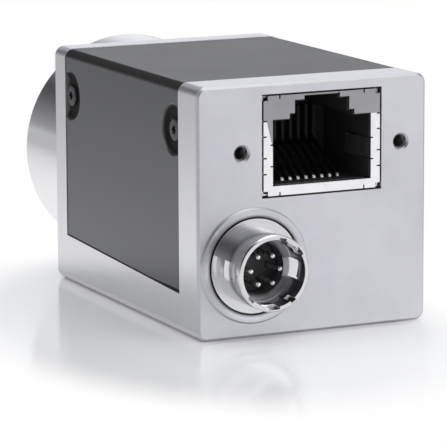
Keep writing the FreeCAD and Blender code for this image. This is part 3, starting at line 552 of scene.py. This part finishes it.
black_rubber = grained("black_rubber", (0.022, 0.022, 0.022), 0.0, 0.75, (3500, 300),
                       tones=((0.016, 0.016, 0.016), (0.034, 0.034, 0.033)),
                       relief=(0.6, 0.03 * MM))
clothe(nodes["filter_gasket"], black_rubber)
clothe(nodes["sensor_gasket"], black_rubber)


# ------------------------------------------------------------------ image sensor
# Dark ceramic carrier with a silicon die under a clear lid; the die's sensing field has a
# faint rainbow cast and its border is plain silicon.
carrier_ceramic = grained("carrier_ceramic", (0.11, 0.105, 0.10), 0.0, 0.5, (9000, 500),
                          tones=((0.085, 0.08, 0.08), (0.14, 0.13, 0.125)),
                          relief=(0.3, 0.01 * MM))
clothe(nodes["sensor_package"], carrier_ceramic)

die_low, die_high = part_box("sensor_die")
border_side = 0.9 * MM
border_end = 0.8 * MM
die_silicon, die_tree, die_shader = new_material("die_silicon", (0.1, 0.12, 0.16), 0.6, 0.16)
die_parts = object_parts(die_tree)
die_across = worked(die_tree, "ABSOLUTE", die_parts["X"])
die_drop = worked(die_tree, "SUBTRACT", die_parts["Z"], (die_low.z + die_high.z) / 2)
die_up = worked(die_tree, "ABSOLUTE", die_drop)
field_x = worked(die_tree, "LESS_THAN", die_across, die_high.x - border_side)
field_z = worked(die_tree, "LESS_THAN", die_up, (die_high.z - die_low.z) / 2 - border_end)
sensing_field = worked(die_tree, "MULTIPLY", field_x, field_z)
die_place = add_node(die_tree, "ShaderNodeTexCoord")
rainbow = add_node(die_tree, "ShaderNodeTexWave", {"Scale": 28.0, "Distortion": 0.6},
                   {"Vector": die_place.outputs["Object"]}, bands_direction="DIAGONAL")
rainbow_tint = blended(die_tree, rainbow.outputs["Fac"], (0.16, 0.07, 0.20), (0.05, 0.20, 0.16))
die_tree.links.new(blended(die_tree, sensing_field, (0.19, 0.19, 0.2), rainbow_tint),
                   die_shader.inputs["Base Color"])
clothe(nodes["sensor_die"], die_silicon)

lid_glass, lid_tree, lid_shader = new_material("lid_glass", (0.97, 0.985, 0.98), 0.0, 0.0,
                                               Transmission_Weight=1.0, IOR=1.5)
lid_grain = place_group(lid_tree, grain_group, Grains=1500, Patches=200)
lid_tree.links.new(ranged(lid_tree, lid_grain.outputs["Tone"], 0.0, 0.03, 0.4, 0.8),
                   lid_shader.inputs["Roughness"])
clothe(nodes["sensor_cover_glass"], lid_glass)


# ------------------------------------------------------------------ circuit boards
# Glass-fibre boards under green solder mask, with copper runs showing through it and
# tinned pads; two upright ones, one flat under the network socket and one behind the
# round connector.
copper_runs = {"Scale": 260.0, "Mortar Size": 0.045, "Brick Width": 1.3, "Row Height": 0.35}
tinned_pads = {"Scale": 620.0, "Randomness": 0.55}
board_green, board_tree, board_shader = new_material("board_green", (0.015, 0.13, 0.055),
                                                     0.0, 0.35)
board_place = add_node(board_tree, "ShaderNodeTexCoord")
board_runs = add_node(board_tree, "ShaderNodeTexBrick", copper_runs,
                      {"Vector": board_place.outputs["Object"]})
board_pads = add_node(board_tree, "ShaderNodeTexVoronoi", tinned_pads,
                      {"Vector": board_place.outputs["Object"]})
pad_share = ranged(board_tree, board_pads.outputs["Distance"], 1, 0, 0.16, 0.19)
run_colour = blended(board_tree, board_runs.outputs["Fac"], (0.012, 0.115, 0.048),
                     (0.03, 0.21, 0.085))
board_tree.links.new(blended(board_tree, pad_share, run_colour, (0.62, 0.62, 0.6)),
                     board_shader.inputs["Base Color"])
board_tree.links.new(pad_share, board_shader.inputs["Metallic"])
raised(board_tree, board_shader, board_runs.outputs["Fac"], 0.4, 0.02 * MM)
for node in ("sensor_board", "processor_board", "interface_board", "power_board"):
    clothe(nodes[node], board_green)

# chips: moulded black epoxy with a slightly sandy skin
chip_black = grained("chip_black", (0.028, 0.028, 0.03), 0.0, 0.55, (7000, 350),
                     sheen=(0.45, 0.65), relief=(0.5, 0.02 * MM))
for node in ("processor_chip", "memory_chip", "network_chip", "jack_magnetics"):
    clothe(softened_copy(node, 0.08 * MM), chip_black)

# plugs and sockets between the boards: moulded plastic, smoother than the chips
black_plastic = grained("black_plastic", (0.012, 0.012, 0.014), 0.0, 0.38, (4200, 150),
                        sheen=(0.3, 0.5), relief=(0.25, 0.012 * MM))
for node in ("mezzanine_socket", "mezzanine_plug", "interface_header", "power_header"):
    clothe(softened_copy(node, 0.08 * MM), black_plastic)

# soft heat pad
pad_grey = grained("pad_grey", (0.36, 0.42, 0.48), 0.0, 0.8, (2600, 260),
                   tones=((0.30, 0.36, 0.42), (0.44, 0.50, 0.55)), relief=(0.5, 0.03 * MM))
clothe(nodes["thermal_pad"], pad_grey)

# zinc-plated spacers and screws
bright_zinc = grained("steel", (0.6, 0.6, 0.61), 1.0, 0.3, (3500, 400),
                      tones=((0.5, 0.5, 0.52), (0.7, 0.7, 0.7)), sheen=(0.22, 0.4))
for node in ("board_spacers", "board_screws", "interface_screws"):
    clothe(softened_copy(node, 0.08 * MM), bright_zinc)


# ------------------------------------------------------------------ rear plate
# Thick cast plate with both connector openings and a low ring round the round one, the
# same blasted finish as the casting; held by the cover's rear screws.
def distance_round(tree, axis):
    """How far a point is from an axis that runs along Y."""
    place = add_node(tree, "ShaderNodeTexCoord")
    reach = add_node(tree, "ShaderNodeVectorMath", {1: (axis[0], 0, axis[1])},
                     {0: place.outputs["Object"]}, operation="SUBTRACT")
    across = add_node(tree, "ShaderNodeVectorMath", {1: (1, 0, 1)}, {0: reach.outputs[0]},
                      operation="MULTIPLY")
    length = add_node(tree, "ShaderNodeVectorMath", operation="LENGTH",
                      feeds={0: across.outputs[0]})
    return length.outputs["Value"]


shell_low, shell_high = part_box("connector_shell")
shell_axis = ((shell_low.x + shell_high.x) / 2, (shell_low.z + shell_high.z) / 2)
flange_radius = (shell_high.x - shell_low.x) / 2
joint_start = flange_radius + 0.2 * MM
joint_end = flange_radius + 0.5 * MM
step_end = flange_radius + 0.75 * MM
step_height = 0.16 * MM
plate_silver = cast_silver.copy()
plate_silver.name = "plate_silver"
plate_tree = plate_silver.node_tree
plate_shader = plate_tree.nodes["Principled BSDF"]
plate_radius = distance_round(plate_tree, shell_axis)
# painted shade: a dark ring on the plate round the flange stands in for the shadow in the gap; the
# bump below gives the turned step
flange_painted_shade = ranged(plate_tree, plate_radius, 1, 0, joint_start, joint_end)
cast_colour = plate_shader.inputs["Base Color"].links[0].from_socket
plate_tree.links.new(blended(plate_tree, flange_painted_shade, cast_colour, (0.12, 0.12, 0.126)),
                     plate_shader.inputs["Base Color"])
cast_relief = plate_shader.inputs["Normal"].links[0].from_socket
turned_step = ranged(plate_tree, plate_radius, 0, 1, joint_start, step_end)
step_relief = add_node(plate_tree, "ShaderNodeBump", {"Strength": 0.35, "Distance": step_height},
                       {"Height": turned_step, "Normal": cast_relief})
plate_tree.links.new(step_relief.outputs[0], plate_shader.inputs["Normal"])
clothe(softened_copy("rear_plate", 0.1 * MM), plate_silver)

lock_pitch = 0.4 * MM
lock_turns = 7
lock_start = 3.4 * MM
lock_mount = next(mount for mount in frame["record"]["mounts"]
                  if mount["name"] == "plug_lock_holes")
lock_radius = lock_mount["dims"]["hole_r_mm"] * MM
lock_spread = lock_mount["dims"]["spacing_x_mm"] * MM / 2
lock_threads = []
for side in (-1, 1):
    lock_place = Vector(lock_mount["pos_m"]) + Vector((side * lock_spread, -lock_start, 0))
    lock_threads.append((f"lock_hole_thread_{side + 1}", lock_place))
screw_threads(lock_threads, (0, 1, 0), lock_radius, lock_pitch, lock_turns)


# ------------------------------------------------------------------ network socket
# Stamped and folded shield of bright nickel-plated sheet round a black moulded body with
# eight gold-plated spring contacts; its upper corners, and a slanted wedge down the +X side, carry
# a painted dark reflection.
shield_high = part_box("jack_shield")[1]
corner_height = 2.75 * MM
corner_width = 1.6 * MM
corner_fade = 0.1 * MM
wedge_slope = 4.0
wedge_height = 4.9 * MM
wedge_width = 0.9 * MM
wedge_foot = shield_high.z - wedge_height - (shield_high.x - wedge_width) * wedge_slope
plated_shield, shield_tree, shield_shader = new_material("plated_shield", (0.8, 0.8, 0.81),
                                                         1.0, 0.26)
shield_parts = object_parts(shield_tree)
shield_grain = place_group(shield_tree, grain_group, Grains=1400, Patches=420)
wedge_line = add_node(shield_tree, "ShaderNodeMath", {1: wedge_slope, 2: wedge_foot},
                      {0: shield_parts["X"]}, operation="MULTIPLY_ADD")
wedge_rise = worked(shield_tree, "SUBTRACT", shield_parts["Z"], wedge_line.outputs[0])
wedge_share = ranged(shield_tree, wedge_rise, 0, 1, -corner_fade, corner_fade)
edge_column = ranged(shield_tree, shield_parts["X"], 0, 1,
                     shield_high.x - corner_width - corner_fade, shield_high.x - corner_width)
wedge_corner = worked(shield_tree, "MULTIPLY", wedge_share, edge_column)
top_corners = ranged(shield_tree, shield_parts["Z"], 0, 1,
                     shield_high.z - corner_height - corner_fade, shield_high.z - corner_height)
# painted dark reflection: the upper corners and the wedge take a dark grey in place of the bright
# plating
corner_painted_reflection = worked(shield_tree, "MAXIMUM", top_corners, wedge_corner)
shield_bright = blended(shield_tree, shield_grain.outputs["Tone"], (0.82, 0.82, 0.835),
                        (0.88, 0.88, 0.89))
shield_tree.links.new(blended(shield_tree, corner_painted_reflection, shield_bright, (0.33, 0.33, 0.345)),
                      shield_shader.inputs["Base Color"])
shield_tree.links.new(toned(shield_tree, shield_grain, 0.30, 0.40),
                      shield_shader.inputs["Roughness"])
raised(shield_tree, shield_shader, shield_grain.outputs["Height"], 0.25, 0.01 * MM)
clothe(softened_copy("jack_shield", 0.05 * MM), plated_shield)

socket_plastic = grained("socket_plastic", (0.04, 0.04, 0.043), 0.0, 0.6, (4200, 260),
                         tones=((0.022, 0.022, 0.024), (0.034, 0.034, 0.036)),
                         relief=(0.25, 0.012 * MM), Specular_IOR_Level=0.22)
clothe(softened_copy("jack_housing", 0.05 * MM), socket_plastic)

# the contacts' wires lie in the body's shade, which is painted into their colour; only their noses
# at the front are bright
contacts_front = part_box("jack_contacts")[1].y
nose_start = contacts_front - 0.32 * MM
nose_end = contacts_front - 0.16 * MM
pale_gold, gold_tree, gold_shader = new_material("pale_gold", (0.36, 0.34, 0.30), 1.0, 0.4)
gold_grain = place_group(gold_tree, grain_group, Grains=3000, Patches=900)
nose_share = ranged(gold_tree, object_parts(gold_tree)["Y"], 0, 1, nose_start, nose_end)
shaded_wire_colour = blended(gold_tree, gold_grain.outputs["Tone"], (0.05, 0.048, 0.045),
                      (0.085, 0.08, 0.075))
gold_tree.links.new(blended(gold_tree, nose_share, shaded_wire_colour, (0.42, 0.405, 0.37)),
                    gold_shader.inputs["Base Color"])
gold_tree.links.new(toned(gold_tree, gold_grain, 0.34, 0.5), gold_shader.inputs["Roughness"])
clothe(softened_copy("jack_contacts", 0.07 * MM), pale_gold)


# ------------------------------------------------------------------ round connector
# Turned brass shell under satin nickel, with milled keyways and latch windows; a black
# insert holds six pins with rounded noses, and a thin nut clamps it from inside.
bore_radius = 3.75 * MM
bore_roughness = 0.52
plated_shell, shell_tree, shell_shader = new_material("plated_shell", (0.72, 0.72, 0.735),
                                                      1.0, 0.2)
shell_lathe = place_group(shell_tree, lathe_group, Across=shell_axis[0], Up=shell_axis[1],
                          Fineness=7000)
shell_grain = place_group(shell_tree, grain_group, Grains=2500, Patches=330)
shell_outside = blended(shell_tree, shell_lathe.outputs["Height"], (0.62, 0.62, 0.635),
                        (0.78, 0.78, 0.79))
# painted shade: inside the bore radius the shell takes a dark grey and a rougher finish
bore_painted_shade = ranged(shell_tree, distance_round(shell_tree, shell_axis), 1, 0, bore_radius,
                    bore_radius + 0.1 * MM)
shell_tree.links.new(blended(shell_tree, bore_painted_shade, shell_outside, (0.33, 0.33, 0.345)),
                     shell_shader.inputs["Base Color"])
shell_sheen = toned(shell_tree, shell_grain, 0.16, 0.21)
shell_tree.links.new(levelled(shell_tree, bore_painted_shade, shell_sheen, bore_roughness),
                     shell_shader.inputs["Roughness"])
raised(shell_tree, shell_shader, shell_lathe.outputs["Height"], 0.3, 0.008 * MM)
clothe(softened_copy("connector_shell", 0.07 * MM), plated_shell)
clothe(softened_copy("connector_nut", 0.1 * MM), plated_shell)
clothe(softened_copy("connector_insert", 0.05 * MM), black_plastic)


def rounded_rod(radius, length, sides, turn, place, rounding=0.0, steps=1):
    """A cylinder along its turned axis, with its end edges rounded."""
    bpy.ops.object.select_all(action="DESELECT")
    bpy.ops.mesh.primitive_cylinder_add(vertices=sides, radius=radius, depth=length,
                                        rotation=turn, location=place)
    rod = bpy.context.object
    bpy.ops.object.transform_apply(location=True, rotation=True, scale=True)
    if rounding:
        modified(rod, "BEVEL", width=rounding, segments=steps, limit_method="ANGLE")
    return rod


silver_pin = grained("silver_pin", (0.70, 0.69, 0.67), 1.0, 0.25, (3000, 900),
                     tones=((0.60, 0.59, 0.57), (0.80, 0.79, 0.77)), sheen=(0.2, 0.34))
pins_low, pins_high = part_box("connector_pins")
pin_count = 6
pin_radius = 0.3 * MM
pin_circle = (pins_high.x - pins_low.x) / 2 - pin_radius
first_pin = rounded_rod(pin_radius, pins_high.y - pins_low.y, 24, (-math.pi / 2, 0, 0),
                        (0, 0, 0), pin_radius * 0.8, 5)
bpy.ops.object.shade_smooth_by_angle(angle=math.radians(50))
clothe(first_pin, silver_pin)
for index in range(pin_count):
    turn = 2 * math.pi * index / pin_count
    pin_place = (shell_axis[0] + pin_circle * math.cos(turn), (pins_low.y + pins_high.y) / 2,
                 shell_axis[1] + pin_circle * math.sin(turn))
    pin = copied(first_pin, f"connector_pin_{index + 1}", pin_place)
    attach(pin, "root")
    if index == 0:
        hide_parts("connector_pins")
bpy.data.objects.remove(first_pin)


# ------------------------------------------------------------------ top cover
# Folded steel sheet, powder coated fine matt black, with four seats pressed in for its
# screws; its seats and its lower edge carry painted shade, its bends a painted dark
# reflection, and its sides are painted lighter than its roof. It is bare of any print.
cover_low, cover_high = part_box("top_cover")
seat_top = cover_high.z - 2.0 * MM
seat_fade = 0.4 * MM
edge_height = cover_low.z + 0.24 * MM
edge_fade = 0.08 * MM
bend_width = 0.98 * MM
bend_height = 1.0 * MM
shaded_place_roughness = 0.92
roof_extra = 0.13
cover_paint, paint_tree, paint_shader = new_material("cover_paint", (0.012, 0.012, 0.014), 0.0,
                                                    0.28, Specular_IOR_Level=0.56)
paint_grain = place_group(paint_tree, grain_group, Grains=6500, Patches=110)
paint_parts = object_parts(paint_tree)
paint_out = worked(paint_tree, "ABSOLUTE", paint_parts["X"])
# painted shade: the seats below the roof, the lower edge and the bends are masked by place and take
# a near-black, rough paint; on the bends it stands in for a dark reflection
seat_depth = ranged(paint_tree, paint_out, 1, 0, cover_high.x - 0.22 * MM,
                    cover_high.x - 0.04 * MM)
seat_below = ranged(paint_tree, paint_parts["Z"], 1, 0, seat_top - seat_fade, seat_top)
seat_share = worked(paint_tree, "MULTIPLY", seat_depth, seat_below)
edge_share = ranged(paint_tree, paint_parts["Z"], 1, 0, edge_height, edge_height + edge_fade)
bend_out = ranged(paint_tree, paint_out, 0, 0.9, cover_high.x - bend_width,
                  cover_high.x - bend_width + 0.18 * MM)
bend_up = ranged(paint_tree, paint_parts["Z"], 0, 1, cover_high.z - bend_height,
                 cover_high.z - bend_height + 0.35 * MM)
bend_share = worked(paint_tree, "MULTIPLY", bend_out, bend_up)
rim_share = worked(paint_tree, "MAXIMUM", bend_share, edge_share)
painted_shade_share = worked(paint_tree, "MAXIMUM", seat_share, rim_share)
roof_share = ranged(paint_tree, paint_parts["Z"], 0, roof_extra, cover_high.z - 0.3 * MM,
                    cover_high.z - 0.1 * MM)
side_share = ranged(paint_tree, paint_parts["Z"], 1, 0, cover_high.z - 0.9 * MM,
                    cover_high.z - 0.1 * MM)
paint_sheen = toned(paint_tree, paint_grain, 0.215, 0.245)
paint_matt = worked(paint_tree, "ADD", paint_sheen, roof_share)
paint_tree.links.new(levelled(paint_tree, painted_shade_share, paint_matt, shaded_place_roughness),
                     paint_shader.inputs["Roughness"])
# painted light: the sides take a lighter tone than the roof, though both are the same coat
roof_tone = blended(paint_tree, paint_grain.outputs["Tone"], (0.015, 0.015, 0.0185),
                    (0.022, 0.022, 0.0265))
side_tone = blended(paint_tree, paint_grain.outputs["Tone"], (0.038, 0.040, 0.0455),
                    (0.047, 0.049, 0.0545))
paint_tone = blended(paint_tree, side_share, roof_tone, side_tone)
# painted shade: near-black colour in the seats, along the lower edge and on the bends
paint_tree.links.new(blended(paint_tree, painted_shade_share, paint_tone, (0.001, 0.001, 0.001)),
                     paint_shader.inputs["Base Color"])
raised(paint_tree, paint_shader, paint_grain.outputs["Height"], 0.10, 0.012 * MM)
clothe(nodes["top_cover"], cover_paint)


# ------------------------------------------------------------------ cover screws
# Low-head screws with a black oxide skin and a six-lobed driver recess, two in the
# pressed seats on each side.
black_screw = grained("black_screw", (0.05, 0.05, 0.055), 0.7, 0.34, (5000, 900),
                      tones=((0.035, 0.035, 0.04), (0.08, 0.08, 0.085)), sheen=(0.26, 0.42))
screws_low, screws_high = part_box("cover_screws")
head_radius = 1.3 * MM
head_height = 0.4 * MM
recess_place = 0.1 * MM
lobe_radius = 0.62 * MM
lobe_count = 6
lobe_share = 0.20
screw_z = (screws_low.z + screws_high.z) / 2
screw_rows = [screws_low.y + head_radius, screws_high.y - head_radius]
sideways = (0, math.pi / 2, 0)
driver = rounded_rod(lobe_radius, head_height, 48, sideways, (-recess_place, 0, 0))
for corner in driver.data.vertices:
    wave = math.cos(lobe_count * math.atan2(corner.co.z, corner.co.y))
    lobe = 1 - lobe_share + lobe_share * wave
    corner.co.y *= lobe
    corner.co.z *= lobe
first_screw = rounded_rod(head_radius, head_height, 48, sideways, (-head_height / 2, 0, 0),
                          head_height * 0.45, 4)
modified(first_screw, "BOOLEAN", operation="DIFFERENCE", solver="EXACT", object=driver)
bpy.data.objects.remove(driver)
bpy.ops.object.shade_smooth_by_angle(angle=math.radians(40))
clothe(first_screw, black_screw)
for side, side_name, turn in ((-1, "left", math.pi), (1, "right", 0.0)):
    for row, screw_y in enumerate(screw_rows):
        screw = copied(first_screw, f"cover_screw_{side_name}_{row + 1}",
                       (side * screws_high.x, screw_y, screw_z), turn)
        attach(screw, "root")
        if side < 0 and row == 0:
            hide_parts("cover_screws")
bpy.data.objects.remove(first_screw)
